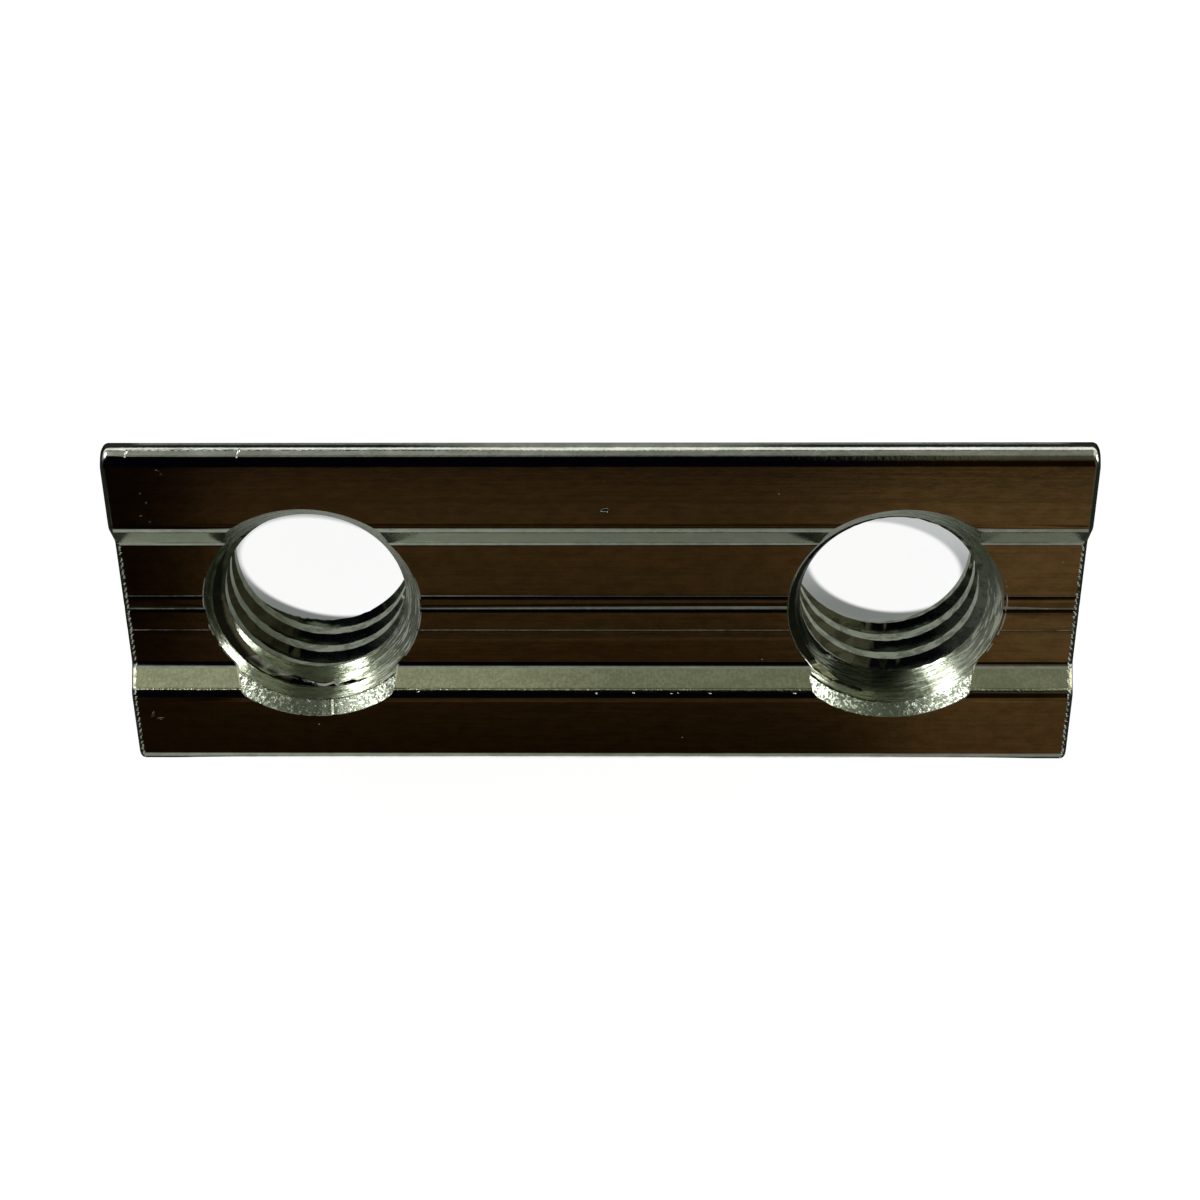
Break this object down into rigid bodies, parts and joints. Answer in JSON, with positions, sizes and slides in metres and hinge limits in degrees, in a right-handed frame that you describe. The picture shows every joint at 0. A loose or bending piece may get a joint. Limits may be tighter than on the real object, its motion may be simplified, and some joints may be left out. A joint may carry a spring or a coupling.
{
  "type": "t slot nut",
  "caption": "Long steel nut for a T slot: raised flanges either side of a shallow channel, and two countersunk threaded holes.",
  "frame": {"origin": "centre of the flat boss face that the nut lies on", "axes": "+X along the slot, +Y across the flanges, +Z out of the grooved, countersunk face"},
  "size_m": [0.036, 0.0138, 0.005],
  "materials": {
    "zinc_plated_steel": "bright zinc plating on drawn steel: mirror-like flats, machined thread and countersinks"
  },
  "bodies": {
    "root": {"t_slot_nut": "zinc_plated_steel"}
  },
  "joints": []
}
